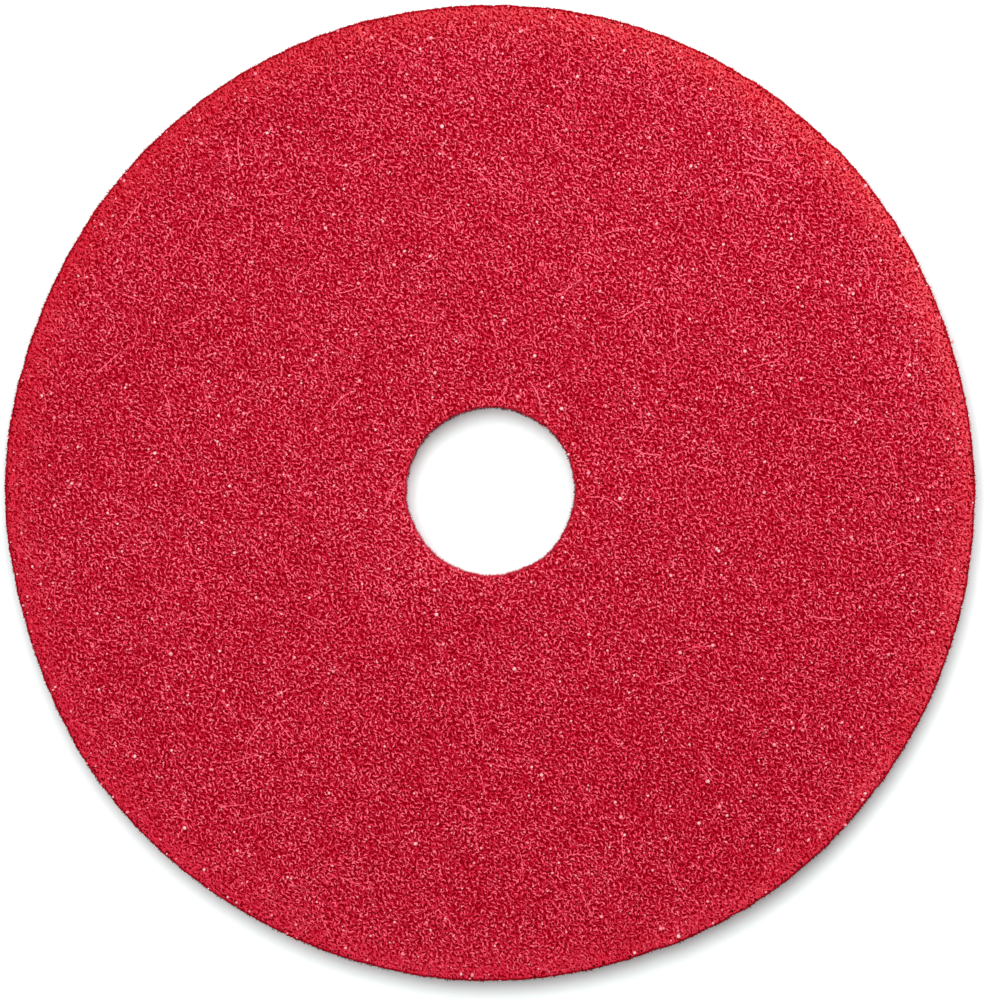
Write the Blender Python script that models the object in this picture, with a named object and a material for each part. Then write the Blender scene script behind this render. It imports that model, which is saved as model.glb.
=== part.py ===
"""Round non-woven floor pad: one slab of bonded fibre web, die-cut with a centre hole.

The pad lies flat. The origin is the centre of its lower face, which meets the floor.
+Z runs up the pad's axis to the upper face, which grips the pad driver of a floor machine.
"""

import math

import bmesh
import bpy

INCH = 0.0254

# Driving dimensions, in metres: the trade sizes of a 19 inch pad.
PAD_DIAMETER = 19 * INCH
HOLE_DIAMETER = 3.25 * INCH
PAD_THICKNESS = 1 * INCH

# The cutting die crushes the web a little, which leaves each cut edge rounded.
EDGE_RADIUS = 0.002
EDGE_SEGMENTS = 2

# Flat facets round each circle.
FACETS = 144

FIBRE_RED = (0.47, 0.020, 0.042, 1.0)
FIBRE_ROUGHNESS = 0.7


def clear_scene():
    """Remove every object of the open file."""
    for obj in list(bpy.data.objects):
        bpy.data.objects.remove(obj, do_unlink=True)


def fibre_material():
    """Red resin-bonded fibre: matt, and not metallic."""
    material = bpy.data.materials.new("red_fibre")
    material.use_nodes = True
    shader = material.node_tree.nodes["Principled BSDF"]
    shader.inputs["Base Color"].default_value = FIBRE_RED
    shader.inputs["Roughness"].default_value = FIBRE_ROUGHNESS
    shader.inputs["Metallic"].default_value = 0.0
    return material


def ring_mesh(name, outer_radius, inner_radius, thickness):
    """A flat ring from z = 0 up to its thickness, with square edges."""
    web = bmesh.new()
    for radius in (outer_radius, inner_radius):
        bmesh.ops.create_circle(web, segments=FACETS, radius=radius)
    lower_face = bmesh.ops.bridge_loops(web, edges=web.edges[:])["faces"]

    upper = bmesh.ops.extrude_face_region(web, geom=lower_face, use_keep_orig=True)["geom"]
    upper_verts = [item for item in upper if isinstance(item, bmesh.types.BMVert)]
    bmesh.ops.translate(web, verts=upper_verts, vec=(0.0, 0.0, thickness))
    bmesh.ops.recalc_face_normals(web, faces=web.faces[:])

    mesh = bpy.data.meshes.new(name)
    web.to_mesh(mesh)
    web.free()
    mesh.shade_smooth()
    return mesh


def round_the_cut_edges(obj):
    """Bevel the four circles where the faces meet the cut walls."""
    bevel = obj.modifiers.new("cut_edges", "BEVEL")
    bevel.width = EDGE_RADIUS
    bevel.segments = EDGE_SEGMENTS
    bevel.limit_method = "ANGLE"
    bevel.angle_limit = math.radians(60.0)
    bevel.harden_normals = True


def floor_pad():
    """The whole pad is one piece of web, so it is one object."""
    mesh = ring_mesh("floor_pad", PAD_DIAMETER / 2, HOLE_DIAMETER / 2, PAD_THICKNESS)
    mesh.materials.append(fibre_material())
    pad = bpy.data.objects.new("floor_pad", mesh)
    bpy.context.scene.collection.objects.link(pad)
    round_the_cut_edges(pad)
    return pad


clear_scene()
floor_pad()
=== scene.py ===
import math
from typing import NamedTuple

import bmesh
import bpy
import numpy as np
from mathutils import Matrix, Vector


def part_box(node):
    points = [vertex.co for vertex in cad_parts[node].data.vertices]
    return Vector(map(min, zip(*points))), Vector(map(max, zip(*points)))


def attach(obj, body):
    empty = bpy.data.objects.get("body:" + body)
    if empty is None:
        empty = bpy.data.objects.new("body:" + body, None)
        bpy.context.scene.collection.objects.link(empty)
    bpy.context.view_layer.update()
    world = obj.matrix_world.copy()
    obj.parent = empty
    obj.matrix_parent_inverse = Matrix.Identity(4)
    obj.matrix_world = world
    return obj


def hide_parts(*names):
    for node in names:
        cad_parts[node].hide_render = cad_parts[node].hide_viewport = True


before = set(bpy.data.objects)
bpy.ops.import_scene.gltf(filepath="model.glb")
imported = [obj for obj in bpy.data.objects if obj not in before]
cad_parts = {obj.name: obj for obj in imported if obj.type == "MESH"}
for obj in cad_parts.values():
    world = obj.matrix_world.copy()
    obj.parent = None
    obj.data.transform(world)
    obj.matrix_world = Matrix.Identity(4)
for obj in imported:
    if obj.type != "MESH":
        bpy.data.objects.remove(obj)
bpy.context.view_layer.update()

# Looks of a round non-woven floor pad: one die-cut slab of crimped red fibres bonded with resin,
# lying on a pale floor under two softboxes and seen from straight above.
#
# The web is built the way it is made. web_core is the dense inside, and crimped fibres are laid
# over it in layers on both faces, the outer wall and the wall of the centre hole. Cut fibre ends
# fill the two walls, resin beads sit on the fibres, and a few stray fibres arch out of the top.

PAD_LOW, PAD_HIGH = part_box("floor_pad")

# ---- Sizes, in metres -------------------------------------------------------------------------

MM = 0.001
TURN = 2 * math.pi

RADIUS = (PAD_HIGH[0] - PAD_LOW[0]) / 2
THICKNESS = PAD_HIGH[2] - PAD_LOW[2]
MIDDLE = (PAD_HIGH[2] + PAD_LOW[2]) / 2
HOLE_RADIUS = min(math.hypot(v.co.x, v.co.y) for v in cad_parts["floor_pad"].data.vertices)

EDGE_RADIUS = 1.4 * MM    # the die leaves each cut edge rounded
ROLL_DROP = 0.9 * MM      # the faces roll off a little towards their cut edges
ROLL_WIDTH = 5.0 * MM
CUT_OFFSET = 0.3 * MM     # the web's two cuts lie this far outside the CAD solid's circles
OVALITY = 0.95 * MM       # the cut outline is a little longer along Y than along X
HOLE_SHIFT = 0.6 * MM     # and the hole is a little off its centre
PRESSED_BAND = 11 * MM    # the web is pressed flatter and more even near its outline,
NARROW_BAND = 2.5 * MM    # and in a narrower band near the hole and along the walls' edges,
NARROW_PRESS = 0.5        # where it is pressed only half as much
CORE_DEPTH = 2.6 * MM     # from the pad's faces to the web's dense inside
CORE_INSET = 1.5 * MM     # and from its cut walls

rng = np.random.default_rng(19)


# ---- The outline ------------------------------------------------------------------------------

WAVE_SAMPLES = 2880       # places round the pad where a wave is worked out


def wavy(size, slowest, fastest):
    """A random wave round the pad with the given spread, as a function of the angle. slowest and
    fastest are how often it repeats in one turn."""
    orders = np.arange(slowest, fastest + 1)
    heights = rng.normal(0, 1, len(orders)) / np.sqrt(orders)
    heights *= size / math.sqrt((heights ** 2).sum() / 2)
    phases = rng.uniform(0, TURN, len(orders))
    angles = np.arange(WAVE_SAMPLES) * TURN / WAVE_SAMPLES
    wave = (heights * np.cos(angles[:, None] * orders + phases)).sum(-1)
    return lambda angle: np.interp(angle, angles, wave, period=TURN)


outer_wave = wavy(0.35 * MM, 3, 12)
hole_wave = wavy(0.20 * MM, 2, 9)
outer_fray = wavy(0.12 * MM, 21, 150)
hole_fray = wavy(0.10 * MM, 12, 50)


def outer_radius(angle):
    oval = OVALITY * np.cos(2 * angle)
    return RADIUS + CUT_OFFSET - oval + outer_wave(angle) + outer_fray(angle)


def hole_radius(angle):
    shift = HOLE_SHIFT * np.sin(angle)
    return HOLE_RADIUS + CUT_OFFSET + shift + hole_wave(angle) + hole_fray(angle)


# ---- The uneven surface -----------------------------------------------------------------------

GRAIN_ANGLE = math.radians(-47)    # the web was laid in this direction, and its fibres favour it
GRAIN = np.array([math.cos(GRAIN_ANGLE), math.sin(GRAIN_ANGLE), 0.0])


class Swell:
    """Soft lumps of the web: how far it stands out of its even shape at any place in space."""

    def __init__(self, size, shortest, longest, count):
        self.directions = rng.normal(0, 1, (3, count))
        self.directions -= 0.6 * np.outer(GRAIN, GRAIN @ self.directions)
        self.directions /= np.linalg.norm(self.directions, axis=0)
        self.directions *= TURN / rng.uniform(shortest, longest, count)
        self.phases = rng.uniform(0, TURN, count)
        self.height = size * math.sqrt(2 / count)

    def at(self, places):
        return self.height * np.cos(places @ self.directions + self.phases).sum(-1)


lumps = Swell(size=0.22 * MM, shortest=5 * MM, longest=16 * MM, count=40)
EDGE_CALM = 0.8           # share of the lumps that is lost at the faces' edges
WALL_SWELL = 0.2          # share of the lumps that the cut walls keep


# ---- Skins: the pad's four surfaces, each unrolled into a flat sheet --------------------------

def polar(places):
    """Distance from the pad's axis, and angle round it."""
    return np.hypot(places[..., 0], places[..., 1]), np.arctan2(places[..., 1], places[..., 0])


def rounding(gap):
    """Sine and cosine of the lean of a cut edge's arc, for points this far from its end."""
    lean = np.clip((EDGE_RADIUS - gap) / EDGE_RADIUS, 0, 1)
    return lean, np.sqrt(1 - lean ** 2)


def pressed_at(places):
    """How far the faces are pressed: 1 at the outline, falling off inwards, and less at the hole."""
    radius, angle = polar(places)
    outline = np.exp(-np.maximum(outer_radius(angle) - radius, 0) / PRESSED_BAND)
    hole = np.exp(-np.maximum(radius - hole_radius(angle), 0) / NARROW_BAND)
    return outline + NARROW_PRESS * hole


class FaceSkin:
    """The upper face (side 1) or the lower face (side -1). Sheet coordinates are x and y."""

    def __init__(self, side):
        self.side = side
        self.area = math.pi * (RADIUS ** 2 - HOLE_RADIUS ** 2)

    def starts(self, count):
        radius = np.sqrt(rng.uniform(HOLE_RADIUS ** 2, RADIUS ** 2, count))
        angle = rng.uniform(-math.pi, math.pi, count)
        return np.stack([radius * np.cos(angle), radius * np.sin(angle)], -1)

    def fold(self, sheet):
        """Turns what would leave the pad back at the cut edges."""
        radius, angle = polar(sheet)
        outer = outer_radius(angle)
        hole = hole_radius(angle)
        inside = np.where(radius > outer, 2 * outer - radius, radius)
        inside = np.where(inside < hole, 2 * hole - inside, inside)
        return sheet * (inside / np.maximum(radius, MM))[..., None]

    def gap(self, sheet):
        """Distance to the nearest cut edge."""
        radius, angle = polar(sheet)
        return np.minimum(outer_radius(angle) - radius, radius - hole_radius(angle))

    def pressed(self, sheet):
        return pressed_at(sheet)

    def place(self, sheet, depth):
        """Positions this deep under the skin, and the directions straight out of it."""
        radius, angle = polar(sheet)
        lean_out, rise_out = rounding(outer_radius(angle) - radius)
        lean_in, rise_in = rounding(radius - hole_radius(angle))
        rise = np.minimum(rise_out, rise_in)
        lean = lean_out - lean_in
        outward = np.stack([lean * np.cos(angle), lean * np.sin(angle), self.side * rise], -1)
        edge = np.exp(-np.maximum(self.gap(sheet), 0) / ROLL_WIDTH)
        height = THICKNESS / 2 - EDGE_RADIUS * (1 - rise) - ROLL_DROP * edge
        skin = np.stack([sheet[..., 0], sheet[..., 1], MIDDLE + self.side * height], -1)
        swell = lumps.at(skin) * (1 - EDGE_CALM * edge)
        if self.side < 0:
            swell = np.minimum(swell, 0)    # nothing stands out into the floor
        return skin + outward * (swell - depth)[..., None], outward

    def sector(self, sheet, sectors):
        """Which of the pad's equal sectors each place is in."""
        _, angle = polar(sheet)
        return np.minimum(((angle + math.pi) / TURN * sectors).astype(int), sectors - 1)


class WallSkin:
    """The outer wall (side 1) or the hole's wall (side -1). Sheet coordinates are arc and height."""

    def __init__(self, side):
        self.side = side
        self.radius = RADIUS if side > 0 else HOLE_RADIUS
        self.cut = outer_radius if side > 0 else hole_radius
        self.top = THICKNESS / 2 - ROLL_DROP
        self.reach = self.top - 0.4 * EDGE_RADIUS
        self.area = TURN * self.radius * 2 * self.reach

    def starts(self, count):
        arc = rng.uniform(-math.pi, math.pi, count) * self.radius
        return np.stack([arc, rng.uniform(-self.reach, self.reach, count)], -1)

    def fold(self, sheet):
        """Turns what would leave the wall back at its upper and lower end."""
        height = sheet[..., 1]
        height = np.where(height > self.reach, 2 * self.reach - height, height)
        height = np.where(height < -self.reach, -2 * self.reach - height, height)
        return np.stack([sheet[..., 0], height], -1)

    def gap(self, sheet):
        """Distance to the nearer end of the wall."""
        return self.top - np.abs(sheet[..., 1])

    def pressed(self, sheet):
        return NARROW_PRESS * np.exp(-np.maximum(self.gap(sheet), 0) / NARROW_BAND)

    def place(self, sheet, depth):
        angle = sheet[..., 0] / self.radius
        height = sheet[..., 1]
        lean, rise = rounding(self.gap(sheet))
        radius = self.cut(angle) - self.side * EDGE_RADIUS * (1 - rise)
        level = np.sign(height) * lean
        radial = self.side * rise
        outward = np.stack([radial * np.cos(angle), radial * np.sin(angle), level], -1)
        skin = np.stack([radius * np.cos(angle), radius * np.sin(angle), MIDDLE + height], -1)
        return skin + outward * (WALL_SWELL * lumps.at(skin) - depth)[..., None], outward

    def sector(self, sheet, sectors):
        angle = sheet[:, 0] / self.radius
        return np.floor((angle / TURN + 0.5) * sectors).astype(int) % sectors


# ---- Crimped fibres ---------------------------------------------------------------------------

FIBRE_SIDES = 3
CRIMP_WAVES = (2.0 * MM, 3.5 * MM)    # a fibre winds from side to side once in this length,
CRIMP_SWING = (0.6, 1.2)  # turning this far, in radians,
CRIMP_DRIFT = 100         # while its heading drifts by this many radians in a metre
RISE_WAVES = (4 * MM, 8 * MM)         # it dips into the web and comes up once in this length
GRAIN_PULL = 0.9          # how strongly fibres line up with the grain: 0 is not at all
TRIES = 24                # places tried for each fibre, so that the web is laid evenly
CELL = 0.6 * MM           # fibres are counted on squares of this size,
SPREAD = 1.3              # and keep about this many squares apart as they are laid
PRESSED_RISE = 0.6        # share of its depth that a fibre loses where the web is pressed

# A shade runs from 0, the web's deepest colour, to 1, its palest.
CROWN_SHADE = 0.59        # middle shade of the fibres' crowns
OPEN_SHADE = 0.4          # painted sheen: what a crown gains on top of the open web,
SHADE_DEPTH = 1.9 * MM    # and how deep in the web painted shade has lowered it by 1
TONE = 0.09               # spread of the shades from fibre to fibre
GLOW = 0.20               # and its swing along each fibre,
GLOW_WAVES = (2 * MM, 4 * MM)         # which repeats in this length
SIDE_SHADE = 0.54         # painted shade: the sides of a fibre are this much deeper than its crown
ROUNDNESS = 0.5           # how round a fibre looks: light that passes through it hides the rest
PRESSED_SHADE = -0.09     # pressed web has deeper crowns,
PRESSED_LEAN = 0.09       # most of all at the pad's -X side,
PRESSED_EVEN = 0.90       # and its fibres differ less from each other, in tone and in painted shade
QUARTER_SHADE = 0.04      # painted light and shade differ between the pad's quarters,
SLOPE_SHADE = 0.03        # and from its -Y side to its +Y side
BESIDE_SHADE = 0.13       # the web is paler on one side of the hole,
BESIDE_BAND = 25 * MM     # falling off over this distance,
BESIDE_SIDE = (-0.82, -0.57)          # in this direction from the pad's axis
OUTER_EDGE_SHADE = -1.1   # painted shade darkens the outline's rounded edge
HOLE_EDGE_SHADE = -0.15   # and, a little, the hole's
WALL_SHADE = -0.15        # the cut walls are a little deeper in colour


class Layer(NamedTuple):
    """One layer of fibres. density is millimetres of fibre on each square millimetre of skin, depth
    and radius are ranges, dip is how far a fibre goes deeper on its way, and crimp scales its bends."""
    density: float
    length: float
    step: float
    depth: tuple
    dip: float
    radius: tuple
    crimp: float = 1.0


def wander(starts, step, points, crimp=1.0):
    """Crimped paths on a sheet, one from each start: a wave whose heading drifts."""
    count = len(starts)
    along = np.arange(points) * step
    wavelength = rng.uniform(*CRIMP_WAVES, (count, 1))
    swing = rng.uniform(*CRIMP_SWING, (count, 1)) * crimp
    drift = rng.normal(0, CRIMP_DRIFT, (count, 1)) * crimp
    turned = rng.vonmises(0, GRAIN_PULL, (count, 1)) / 2 + math.pi * rng.integers(0, 2, (count, 1))
    heading = GRAIN_ANGLE + turned + drift * along
    heading += swing * np.sin(TURN * along / wavelength + rng.uniform(0, TURN, (count, 1)))
    paths = np.zeros((count, points, 2))
    paths[:, 1:, 0] = np.cumsum(np.cos(heading[:, :-1]), 1) * step
    paths[:, 1:, 1] = np.cumsum(np.sin(heading[:, :-1]), 1) * step
    return paths + starts[:, None]


def lay(skin, layer):
    """Paths of one layer, each laid where it crosses the fewest others of a few tries."""
    points = round(layer.length / layer.step) + 1
    count = int(skin.area * layer.density / MM / layer.length)
    starts = skin.starts(count * TRIES)
    paths = skin.fold(wander(starts, layer.step, points, layer.crimp))
    paths = paths.reshape(count, TRIES, points, 2)

    between = (paths[:, :, 1:] + paths[:, :, :-1]) / 2
    samples = np.concatenate([paths, between], 2)
    low = samples.min((0, 1, 2)) - 3 * CELL
    cells = ((samples - low) / CELL).astype(int)
    wide = cells[..., 0].max() + 4
    cells = cells[..., 1] * wide + cells[..., 0]
    crossed = np.zeros(cells.max() + 3 * wide, np.float32)
    span = range(-2, 3)
    nearby = [(row * wide + column, math.exp(-(row ** 2 + column ** 2) / 2 / SPREAD ** 2))
              for row in span for column in span]

    chosen = np.empty(count, int)
    for fibre in range(count):
        best = int((crossed[cells[fibre]] ** 2).sum(1).argmin())
        chosen[fibre] = best
        for offset, weight in nearby:
            crossed[cells[fibre, best] + offset] += weight
    return paths[np.arange(count), chosen]


def painted_light_and_hole_patch(places):
    """Painted light and shade that change slowly over the pad, and a paler patch beside the hole."""
    x = places[..., 0] / RADIUS
    y = places[..., 1] / RADIUS
    radius, _ = polar(places)
    beside = np.clip(places[..., :2] @ BESIDE_SIDE / radius, 0, 1)
    beside *= np.exp((HOLE_RADIUS - radius) / BESIDE_BAND)
    return QUARTER_SHADE * x * y + SLOPE_SHADE * y + BESIDE_SHADE * beside


def fibres(skin, layer):
    """Starts, centre lines, outward directions, radii and shades of one layer of fibres."""
    paths = lay(skin, layer)
    count, points, _ = paths.shape
    along = np.arange(points) * layer.step
    radius = np.repeat(rng.uniform(*layer.radius, (count, 1)), points, 1)

    rise = TURN * along / rng.uniform(*RISE_WAVES, (count, 1)) + rng.uniform(0, TURN, (count, 1))
    depth = rng.uniform(*layer.depth, (count, 1)) + layer.dip * (0.5 - 0.5 * np.cos(rise))
    flat = skin.pressed(paths)
    depth *= 1 - PRESSED_RISE * flat
    places, outward = skin.place(paths, depth + radius)

    glow = TURN * along / rng.uniform(*GLOW_WAVES, (count, 1)) + rng.uniform(0, TURN, (count, 1))
    tone = TONE * rng.normal(0, 1, (count, 1)) + GLOW * np.sin(glow)
    contrast = 1 - PRESSED_EVEN * flat
    crown = (PRESSED_SHADE + PRESSED_LEAN * places[..., 0] / RADIUS) * flat
    # Painted shade at the cut edges, painted light and shade over the pad, and a paler patch beside the
    # hole.
    crown += painted_edge_and_wall_shade(places, outward) + painted_light_and_hole_patch(places)
    # Painted sheen and shade: a crown is paler the nearer it lies to the top of the open web, and
    # deeper the deeper it lies.
    crown += CROWN_SHADE + (OPEN_SHADE - depth / SHADE_DEPTH + tone) * contrast
    radius[:, [0, -1]] *= 0.4
    return paths[:, 0], places, outward, radius, with_painted_flanks(crown, contrast)


def painted_edge_and_wall_shade(places, outward):
    """Painted shade where the skin leans out over a cut edge, and a deeper colour on the cut walls."""
    radius, _ = polar(places)
    lean = (places[..., 0] * outward[..., 0] + places[..., 1] * outward[..., 1]) / radius
    rounded = 2 * lean * np.abs(outward[..., 2])
    outer = OUTER_EDGE_SHADE * np.maximum(rounded, 0)
    hole = HOLE_EDGE_SHADE * np.maximum(-rounded, 0)
    return outer + hole + WALL_SHADE * np.abs(lean)


def with_painted_flanks(crown, contrast=1.0):
    """Shades of a fibre's crown and of its flanks, which are painted deeper as shade, as the last axis
    of an array.
    """
    return np.stack([crown, crown - SIDE_SHADE * contrast], -1)


def tube_arrays(places, outward, radius, shade):
    """Vertices, quads, end triangles, shades and normals of closed three-sided tubes."""
    count, points, _ = places.shape
    ahead = np.gradient(places, axis=1)
    across = np.cross(outward, ahead)
    across /= np.maximum(np.linalg.norm(across, axis=2, keepdims=True), 1e-12)
    upward = np.cross(ahead, across)
    upward /= np.maximum(np.linalg.norm(upward, axis=2, keepdims=True), 1e-12)
    turn = TURN * np.arange(FIBRE_SIDES) / FIBRE_SIDES + math.pi / 2
    ring = np.cos(turn)[:, None] * across[:, :, None] + np.sin(turn)[:, None] * upward[:, :, None]
    verts = places[:, :, None] + radius[:, :, None, None] * ring

    index = np.arange(count * points * FIBRE_SIDES).reshape(count, points, FIBRE_SIDES)
    here = index[:, :-1]
    there = index[:, 1:]
    quads = np.stack([here, np.roll(here, -1, 2), np.roll(there, -1, 2), there], -1)
    ends = np.concatenate([index[:, 0, ::-1], index[:, -1]])
    # Painted shade: the crown keeps its own shade, and the two corners below it take the flanks' deeper
    # one.
    flank = (1 - np.sin(turn)) / 1.5    # 0 at the crown, 1 at the two corners below it
    shades = np.clip(shade[..., :1] * (1 - flank) + shade[..., 1:] * flank, 0, 1)
    fall = (shade[..., 0] - shade[..., 1]) / SIDE_SHADE
    normals = outward[:, :, None] + ROUNDNESS * fall[:, :, None, None] * ring
    return (verts.reshape(-1, 3), quads.reshape(-1, 4), ends, shades.ravel(),
            normals.reshape(-1, 3))


# ---- Meshes and pieces ------------------------------------------------------------------------

def mesh_from(name, verts, faces, shade, corners=None, normals=None):
    """A smooth mesh from arrays. faces is a list of arrays, one for each number of corners."""
    mesh = bpy.data.meshes.new(name)
    mesh.vertices.add(len(verts))
    mesh.vertices.foreach_set("co", verts.astype(np.float32).ravel())
    mesh.loops.add(sum(part.size for part in faces))
    mesh.loops.foreach_set("vertex_index", np.concatenate([part.ravel() for part in faces]))
    sizes = np.concatenate([np.full(len(part), part.shape[1]) for part in faces])
    mesh.polygons.add(len(sizes))
    mesh.polygons.foreach_set("loop_start", np.cumsum(sizes) - sizes)
    if corners is not None:
        mesh.uv_layers.new(name="OFBake").data.foreach_set("uv", corners.astype(np.float32).ravel())
    mesh.update(calc_edges=True)
    mesh.attributes.new("shade", "FLOAT", "POINT").data.foreach_set("value", shade)
    mesh.shade_smooth()
    if normals is not None:
        normals /= np.linalg.norm(normals, axis=1, keepdims=True)
        mesh.normals_split_custom_set_from_vertices(normals)
    return mesh


def piece(name, mesh, material):
    """A finished piece of the pad: one object, which rides with the pad's only body."""
    mesh.materials.append(material)
    made = bpy.data.objects.new(name, mesh)
    bpy.context.scene.collection.objects.link(made)
    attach(made, "root")
    return made


def tube_piece(name, batches, material):
    """One piece from batches of fibres, each (places, outward, radius, shades). In its texture
    map, every fibre has its own square cell with a margin round it."""
    verts, quads, ends, shades, normals, quad_corners, end_corners = ([] for _ in range(7))
    count = sum(len(batch[0]) for batch in batches)
    across = math.ceil(math.sqrt(count))
    margin = 0.1
    first_vert = 0
    first_fibre = 0
    for places, outward, radius, shade in batches:
        number, points, _ = places.shape
        tubes = tube_arrays(places, outward, radius, shade)
        fibre = np.arange(first_fibre, first_fibre + number)
        cell = np.stack([fibre % across, fibre // across], -1)
        step = np.stack(np.meshgrid(np.arange(points) / (points - 1),
                                    np.arange(FIBRE_SIDES + 1) / FIBRE_SIDES, indexing="ij"), -1)
        grid = (cell[:, None, None] + margin + (1 - 2 * margin) * step) / across
        corners = [grid[:, :-1, :-1], grid[:, :-1, 1:], grid[:, 1:, 1:], grid[:, 1:, :-1]]
        quad_corners.append(np.stack(corners, 3).reshape(-1, 2))
        end_corners.append(np.concatenate([grid[:, 0, -2::-1], grid[:, -1, :-1]]).reshape(-1, 2))
        verts.append(tubes[0])
        quads.append(tubes[1] + first_vert)
        ends.append(tubes[2] + first_vert)
        shades.append(tubes[3])
        normals.append(tubes[4])
        first_vert += len(tubes[0])
        first_fibre += number
    faces = [np.concatenate(quads), np.concatenate(ends)]
    corners = np.concatenate(quad_corners + end_corners)
    mesh = mesh_from(name, np.concatenate(verts), faces, np.concatenate(shades), corners,
                     np.concatenate(normals))
    piece(name, mesh, material)


def cover(name, skin, layers, sectors, material):
    """Lays every layer of fibres on a skin, and makes one piece for each sector of it."""
    laid = [fibres(skin, layer) for layer in layers]
    for sector in range(sectors):
        batches = []
        for starts, places, outward, radius, shade in laid:
            here = skin.sector(starts, sectors) == sector
            batches.append((places[here], outward[here], radius[here], shade[here]))
        tube_piece(f"{name}_{sector + 1:02d}", batches, material)


# ---- Materials --------------------------------------------------------------------------------

def shader_of(name):
    material = bpy.data.materials.new(name)
    material.use_nodes = True
    return material, material.node_tree, material.node_tree.nodes["Principled BSDF"]


def ramp(tree, factor, stops):
    """A colour ramp with the given (position, colour) stops."""
    node = tree.nodes.new("ShaderNodeValToRGB")
    node.color_ramp.elements.remove(node.color_ramp.elements[1])
    first_place, first_colour = stops[0]
    node.color_ramp.elements[0].position = first_place
    node.color_ramp.elements[0].color = (*first_colour, 1)
    for place, colour in stops[1:]:
        node.color_ramp.elements.new(place).color = (*colour, 1)
    tree.links.new(factor, node.inputs["Fac"])
    return node.outputs["Color"]


def noise(tree, scale, detail=2.0, kind="FBM"):
    """Noise in the object's own metres: scale is in waves per metre."""
    place = tree.nodes.new("ShaderNodeTexCoord")
    node = tree.nodes.new("ShaderNodeTexNoise")
    node.noise_type = kind
    node.inputs["Scale"].default_value = scale
    node.inputs["Detail"].default_value = detail
    tree.links.new(place.outputs["Object"], node.inputs["Vector"])
    return node.outputs["Fac"]


def scaled(tree, value, factor, plus):
    """value * factor + plus, where plus is a number or another output."""
    node = tree.nodes.new("ShaderNodeMath")
    node.operation = "MULTIPLY_ADD"
    tree.links.new(value, node.inputs[0])
    node.inputs[1].default_value = factor
    if isinstance(plus, (int, float)):
        node.inputs[2].default_value = plus
    else:
        tree.links.new(plus, node.inputs[2])
    return node.outputs["Value"]


def shade_of(tree):
    node = tree.nodes.new("ShaderNodeAttribute")
    node.attribute_name = "shade"
    return node.outputs["Fac"]


def ranged(tree, value, start, end, low, high):
    """Maps start..end to low..high, and holds the result between them."""
    node = tree.nodes.new("ShaderNodeMapRange")
    node.inputs["From Min"].default_value = start
    node.inputs["From Max"].default_value = end
    node.inputs["To Min"].default_value = low
    node.inputs["To Max"].default_value = high
    tree.links.new(value, node.inputs["Value"])
    return node.outputs["Result"]


def vector_math(tree, operation, vector, other=(0, 0, 0)):
    node = tree.nodes.new("ShaderNodeVectorMath")
    node.operation = operation
    tree.links.new(vector, node.inputs[0])
    node.inputs[1].default_value = other
    return node.outputs["Vector" if operation == "MULTIPLY" else "Value"]


def mixed(tree, share, colour, other):
    """The colour where share is 0, and the other one where it is 1."""
    node = tree.nodes.new("ShaderNodeMix")
    node.data_type = "RGBA"
    tree.links.new(share, node.inputs["Factor"])
    tree.links.new(colour, node.inputs["A"])
    tree.links.new(other, node.inputs["B"])
    return node.outputs["Result"]


def times(tree, value, other):
    node = tree.nodes.new("ShaderNodeMath")
    node.operation = "MULTIPLY"
    tree.links.new(value, node.inputs[0])
    tree.links.new(other, node.inputs[1])
    return node.outputs["Value"]


WARM_LIGHT_BAND = 24 * MM      # painted warm light turns the red more orange this far in from the outline,
WARM_LIGHT_HOLE = 12 * MM      # and this far out from the hole,
WARM_LIGHT_SIDE = (0.35, 0.94, 0)    # and most of all on this side of the pad


def painted_warm_light(tree):
    """How much painted warm light the web shows: most at its two cut edges, and more on one side of the
    pad.
    """
    place = tree.nodes.new("ShaderNodeTexCoord").outputs["Object"]
    radius = vector_math(tree, "LENGTH", vector_math(tree, "MULTIPLY", place, (1, 1, 0)))
    outer = ranged(tree, radius, RADIUS - WARM_LIGHT_BAND, RADIUS - MM, 0, 1)
    hole = ranged(tree, radius, HOLE_RADIUS + WARM_LIGHT_HOLE, HOLE_RADIUS + MM, 0, 0.6)
    along = vector_math(tree, "DOT_PRODUCT", place, WARM_LIGHT_SIDE)
    side = ranged(tree, along, -RADIUS, RADIUS, 0.2, 1)
    edges = scaled(tree, outer, 1.0, hole)
    return times(tree, edges, side)


def roughen(tree, shader, value, low, high):
    tree.links.new(ranged(tree, value, 0, 1, low, high), shader.inputs["Roughness"])


def bump(tree, shader, value, height, strength):
    node = tree.nodes.new("ShaderNodeBump")
    node.inputs["Distance"].default_value = height
    node.inputs["Strength"].default_value = strength
    tree.links.new(value, node.inputs["Height"])
    tree.links.new(node.outputs["Normal"], shader.inputs["Normal"])


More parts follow.
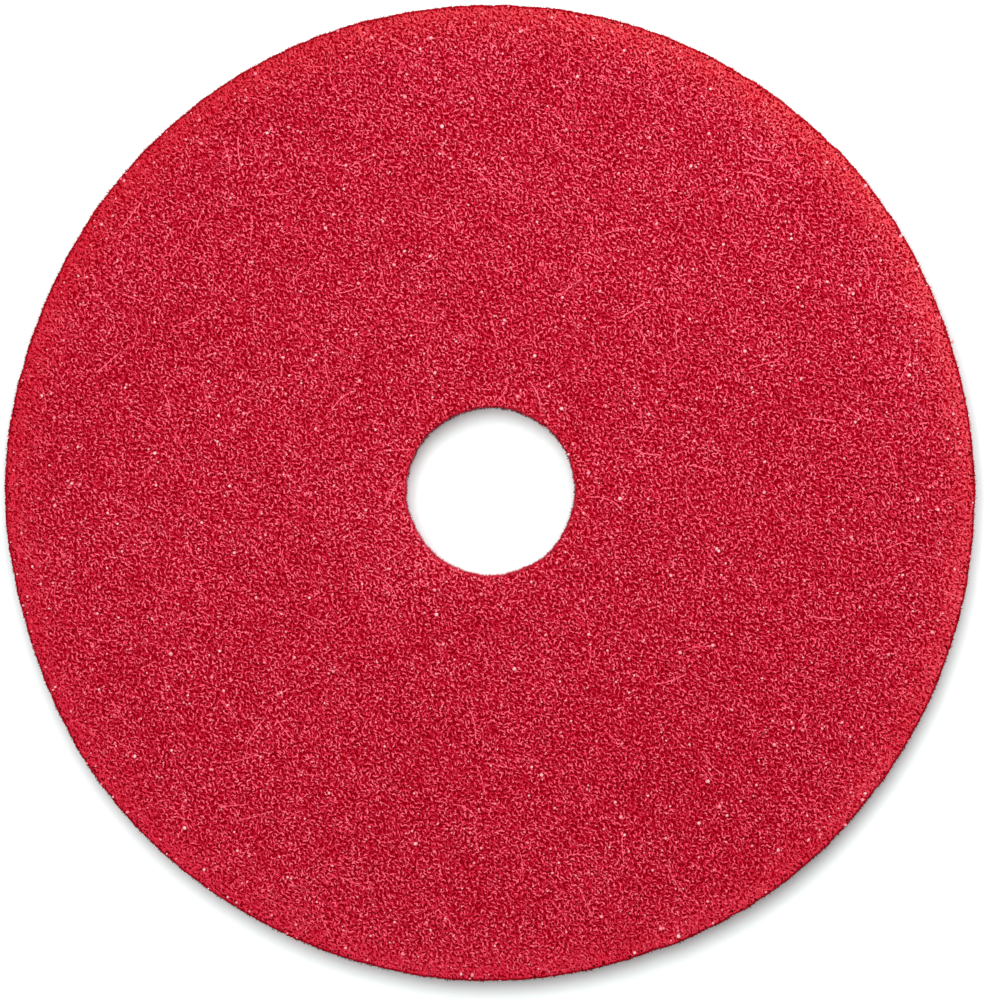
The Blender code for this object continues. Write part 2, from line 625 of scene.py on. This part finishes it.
def fibre_material():
    """Red fibre: deep crimson as painted shade deep in the web, paler with painted sheen on top."""
    material, tree, shader = shader_of("red_fibre")
    clouds = scaled(tree, noise(tree, 30.0), 0.16, -0.08)
    dust = scaled(tree, noise(tree, 900.0), 0.2, -0.1)
    value = scaled(tree, clouds, 1.0, scaled(tree, dust, 1.0, shade_of(tree)))
    # Painted shade and sheen: the ramp runs from shaded crimson up to a pale pink highlight.
    crimson = ramp(tree, value, [(0.0, (0.30, 0.0004, 0.008)), (0.25, (0.40, 0.003, 0.020)),
                                 (0.5, (0.505, 0.015, 0.044)), (1.0, (0.83, 0.162, 0.232))])
    # Painted warm light: near the cut edges, and most on one side, the red is mixed towards orange.
    warm_lit = ramp(tree, value, [(0.0, (0.30, 0.0004, 0.004)), (0.25, (0.40, 0.004, 0.014)),
                               (0.5, (0.505, 0.018, 0.032)), (1.0, (0.84, 0.17, 0.17))])
    colour = mixed(tree, painted_warm_light(tree), crimson, warm_lit)
    tree.links.new(colour, shader.inputs["Base Color"])
    grain = noise(tree, 2500.0)
    roughen(tree, shader, grain, 0.45, 0.75)
    bump(tree, shader, grain, 0.05 * MM, 0.5)
    shader.inputs["Specular IOR Level"].default_value = 0.03
    return material


def core_material():
    """The matted inside of the web, seen through the fibres: dark crimson with strands in it, darkened
    as painted shade of the gaps, and paler near the cut edges.
    """
    material, tree, shader = shader_of("red_web_core")
    strands = noise(tree, 420.0, 3.0, "RIDGED_MULTIFRACTAL")
    paler = scaled(tree, shade_of(tree), 0.45, scaled(tree, strands, 0.6, 0.0))
    colour = ramp(tree, paler, [(0.12, (0.23, 0.0, 0.004)), (0.36, (0.30, 0.0, 0.006)),
                                (0.6, (0.42, 0.004, 0.014)), (1.0, (0.60, 0.03, 0.06))])
    tree.links.new(colour, shader.inputs["Base Color"])
    roughen(tree, shader, strands, 0.9, 0.7)
    bump(tree, shader, strands, 0.4 * MM, 0.6)
    shader.inputs["Specular IOR Level"].default_value = 0.0
    return material


def glint_painted_bead_material():
    """Cured resin: pink to pale pink droplets, smooth enough to glint; their palest colour is partly a
    painted glint.
    """
    material, tree, shader = shader_of("resin_bead")
    value = scaled(tree, noise(tree, 1200.0), 0.3, shade_of(tree))
    colour = ramp(tree, value, [(0.1, (0.62, 0.06, 0.10)), (0.6, (0.78, 0.18, 0.23)),
                                (1.0, (0.84, 0.38, 0.40))])
    tree.links.new(colour, shader.inputs["Base Color"])
    roughen(tree, shader, noise(tree, 800.0), 0.2, 0.4)
    shader.inputs["Specular IOR Level"].default_value = 0.5
    return material


def floor_material():
    """Plain pale studio floor."""
    material, tree, shader = shader_of("pale_floor")
    colour = ramp(tree, noise(tree, 4.0), [(0.3, (0.745, 0.81, 0.805)), (0.7, (0.76, 0.825, 0.82))])
    tree.links.new(colour, shader.inputs["Base Color"])
    shader.inputs["Roughness"].default_value = 0.9
    shader.inputs["Specular IOR Level"].default_value = 0.1
    return material


# ---- The web's inside -------------------------------------------------------------------------

def web_core():
    """The dense inside: a closed ring, remeshed evenly and pushed into soft lumps."""
    columns = 180
    shape = bmesh.new()
    angles = np.arange(columns) * TURN / columns
    rings = []
    for cut, inset in ((outer_radius, -CORE_INSET), (hole_radius, CORE_INSET)):
        radii = cut(angles) + inset
        for height in (CORE_DEPTH, THICKNESS - CORE_DEPTH):
            rings.append([shape.verts.new((r * math.cos(a), r * math.sin(a), PAD_LOW[2] + height))
                          for r, a in zip(radii, angles)])
    outer_low, outer_high, hole_low, hole_high = rings
    walls = ((outer_low, outer_high), (outer_high, hole_high), (hole_high, hole_low),
             (hole_low, outer_low))
    for one, other in walls:
        for i in range(columns):
            j = (i + 1) % columns
            shape.faces.new((one[i], one[j], other[j], other[i]))
    mesh = bpy.data.meshes.new("web_core")
    shape.to_mesh(mesh)
    shape.free()

    core = piece("web_core", mesh, core_material())
    remesh = core.modifiers.new("even", "REMESH")
    remesh.mode = "VOXEL"
    remesh.voxel_size = 2.2 * MM
    even = core.evaluated_get(bpy.context.evaluated_depsgraph_get())
    core.data = bpy.data.meshes.new_from_object(even)
    core.modifiers.clear()
    core.data.name = "web_core"

    lumpy(core.data)
    core.data.shade_smooth()
    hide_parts("floor_pad")


def lumpy(mesh):
    """Pushes a mesh in and out with the web's lumps, and notes where the web is pressed."""
    count = len(mesh.vertices)
    places = np.empty(count * 3, np.float32)
    mesh.vertices.foreach_get("co", places)
    normals = np.empty(count * 3, np.float32)
    mesh.vertices.foreach_get("normal", normals)
    places = places.reshape(-1, 3)
    places += normals.reshape(-1, 3) * lumps.at(places)[:, None]
    mesh.vertices.foreach_set("co", places.ravel())
    shade = pressed_at(places)
    mesh.attributes.new("shade", "FLOAT", "POINT").data.foreach_set("value", shade)
    mesh.update()


# ---- Small pieces on the web ------------------------------------------------------------------

def cut_ends(skins, per_square_mm, material):
    """Short ends of fibres that the die cut, reaching outwards to the pad's walls."""
    batches = []
    for skin in skins:
        count = int(skin.area / MM ** 2 * per_square_mm)
        starts = skin.starts(count)
        lean = rng.normal(0, 0.5 * MM, (count, 2))
        tip = rng.uniform(-0.7 * MM, 0, count)
        root = 1.4 * MM
        share = np.array([0.0, 0.5, 1.0])
        sheet = skin.fold(starts[:, None] + lean[:, None] * share[:, None])
        depth = root + (tip[:, None] - root) * share
        places, outward = skin.place(sheet, depth)
        sideways = np.roll(outward, 1, -1)
        radius = rng.uniform(0.12 * MM, 0.22 * MM, (count, 1)) * np.array([1.0, 0.9, 0.6])
        # Painted shade: each end is deeper in colour at its root, inside the wall, than at its tip.
        shade = np.clip(rng.normal(0.6, 0.2, (count, 1)) * np.array([0.3, 0.8, 1.0]), 0, 1)
        batches.append((places, sideways, radius, with_painted_flanks(shade)))
    tube_piece("cut_fibre_ends", batches, material)


def stray_fibres(skin, count, material):
    """Thin loose fibres that arch a little way out of the web."""
    step = 1.0 * MM
    points = 15
    sheet = skin.fold(wander(skin.starts(count), step, points))
    arch = np.sin(math.pi * np.arange(points) / (points - 1))
    depth = 0.8 * MM - rng.uniform(0.9 * MM, 2.0 * MM, (count, 1)) * arch
    places, outward = skin.place(sheet, depth)
    radius = np.full((count, points), 0.11 * MM)
    shade = np.repeat(rng.uniform(0.5, 1.0, (count, 1)), points, 1)
    # Painted shade: each stray fibre's flanks are deeper than its crown.
    tube_piece("stray_fibres", [(places, outward, radius, with_painted_flanks(shade))], material)


MIDDLE_BEAD = 0.66 * MM   # radii of the beads
BIGGEST_BEAD = 1.3 * MM


def resin_beads(name, skin, per_square_mm, sunk, material):
    """Faceted droplets of cured resin. sunk is how deep each sits in its skin, as a share of
    its radius."""
    ball = bmesh.new()
    bmesh.ops.create_icosphere(ball, subdivisions=1, radius=1.0)
    ball_verts = np.array([v.co[:] for v in ball.verts])
    ball_faces = np.array([[v.index for v in f.verts] for f in ball.faces])
    ball.free()

    count = int(skin.area / MM ** 2 * per_square_mm)
    size = rng.lognormal(math.log(MIDDLE_BEAD), 0.32, (count, 1, 1))
    size = np.minimum(size, BIGGEST_BEAD)
    stretch = rng.uniform(0.6, 1.0, (count, 1, 3))
    places, _ = skin.place(skin.starts(count), sunk * size[:, 0, 0])
    spin = np.linalg.qr(rng.normal(0, 1, (count, 3, 3)))[0]
    verts = places[:, None] + (ball_verts * stretch * size) @ spin
    faces = np.arange(count)[:, None, None] * len(ball_verts) + ball_faces
    # Each bead's paleness: partly its resin's tone, partly a painted glint.
    shade = np.repeat(rng.beta(1.5, 2.2, count), len(ball_verts))
    mesh = mesh_from(name, verts.reshape(-1, 3), [faces.reshape(-1, 3)], shade)
    piece(name, mesh, material)


# ---- Floor, light and camera ------------------------------------------------------------------

def floor():
    """A plain pale floor under the pad, wide enough to run to the horizon."""
    ground = bmesh.new()
    bmesh.ops.create_circle(ground, cap_ends=True, segments=96, radius=20.0)
    mesh = bpy.data.meshes.new("floor")
    ground.to_mesh(mesh)
    ground.free()
    mesh.materials.append(floor_material())
    made = bpy.data.objects.new("floor", mesh)
    made.location.z = PAD_LOW[2]
    bpy.context.scene.collection.objects.link(made)


def softbox(name, bearing, elevation, distance, width, brightness):
    """A round softbox aimed at the pad. brightness is what it gives a level white surface."""
    lamp = bpy.data.lights.new(name, "AREA")
    lamp.shape = "DISK"
    lamp.size = width
    reach = distance ** 2 + (width / 2) ** 2
    lamp.energy = brightness * math.pi ** 2 * reach / math.sin(elevation)
    made = bpy.data.objects.new(name, lamp)
    level = distance * math.cos(elevation)
    made.location = (level * math.cos(bearing), level * math.sin(bearing),
                     distance * math.sin(elevation))
    made.rotation_euler = Vector(made.location).to_track_quat("Z", "Y").to_euler()
    made.visible_camera = False
    bpy.context.scene.collection.objects.link(made)


def lights():
    """A big softbox overhead at the upper left, a low one at the upper right, a dim surround."""
    world = bpy.data.worlds.new("studio")
    world.use_nodes = True
    world.node_tree.nodes["Background"].inputs["Color"].default_value = (1, 1, 1, 1)
    world.node_tree.nodes["Background"].inputs["Strength"].default_value = 0.48
    bpy.context.scene.world = world
    softbox("high_softbox", bearing=math.radians(123), elevation=math.radians(79),
            distance=2.4, width=1.45, brightness=1.085)
    softbox("low_softbox", bearing=math.radians(48), elevation=math.radians(32),
            distance=0.8, width=0.5, brightness=0.17)


def camera():
    """A long lens looking straight down, a little off the pad's axis."""
    lens = bpy.data.cameras.new("camera")
    lens.lens = 250.0
    lens.sensor_width = 36.0
    view_height = 495.7 * MM
    distance = view_height / 2 / (lens.sensor_width / 2 / lens.lens)
    made = bpy.data.objects.new("camera", lens)
    made.location = (2.1 * MM, -3.7 * MM, PAD_HIGH[2] + distance)
    bpy.context.scene.collection.objects.link(made)
    bpy.context.scene.camera = made
    bpy.context.scene.view_settings.view_transform = "Standard"


# ---- The pad ----------------------------------------------------------------------------------

UPPER_LAYERS = (
    Layer(density=1.0, length=6.0 * MM, step=1.0 * MM, depth=(0.8 * MM, 1.4 * MM), dip=0.6 * MM,
          radius=(0.36 * MM, 0.50 * MM)),
    Layer(density=0.62, length=3.2 * MM, step=0.8 * MM, depth=(0, 0.3 * MM), dip=0.5 * MM,
          radius=(0.42 * MM, 0.52 * MM)),
    Layer(density=0.02, length=16.0 * MM, step=1.0 * MM, depth=(0, 0.2 * MM), dip=0.5 * MM,
          radius=(0.32 * MM, 0.42 * MM), crimp=0.4),
)
LOWER_LAYERS = (
    Layer(density=1.0, length=5.2 * MM, step=1.3 * MM, depth=(0, 1.0 * MM), dip=0.8 * MM,
          radius=(0.34 * MM, 0.48 * MM)),
)
WALL_LAYERS = (
    Layer(density=0.9, length=6.0 * MM, step=1.0 * MM, depth=(0.8 * MM, 1.4 * MM), dip=0.8 * MM,
          radius=(0.32 * MM, 0.46 * MM)),
    Layer(density=1.0, length=4.8 * MM, step=0.8 * MM, depth=(0, 0.2 * MM), dip=0.4 * MM,
          radius=(0.32 * MM, 0.44 * MM)),
)

camera()
lights()
floor()
web_core()
red = fibre_material()
upper = FaceSkin(1)
lower = FaceSkin(-1)
outer_wall = WallSkin(1)
hole_wall = WallSkin(-1)
cover("upper_fibres", upper, UPPER_LAYERS, sectors=12, material=red)
cover("lower_fibres", lower, LOWER_LAYERS, sectors=6, material=red)
cover("outer_wall_fibres", outer_wall, WALL_LAYERS, sectors=3, material=red)
cover("hole_wall_fibres", hole_wall, WALL_LAYERS, sectors=1, material=red)
cut_ends((outer_wall, hole_wall), per_square_mm=0.15, material=red)
stray_fibres(upper, count=260, material=red)
# Resin beads, whose pale colour is partly a painted glint.
beads = glint_painted_bead_material()
resin_beads("upper_resin_beads", upper, per_square_mm=0.017, sunk=0.3, material=beads)
resin_beads("lower_resin_beads", lower, per_square_mm=0.010, sunk=0.9, material=beads)
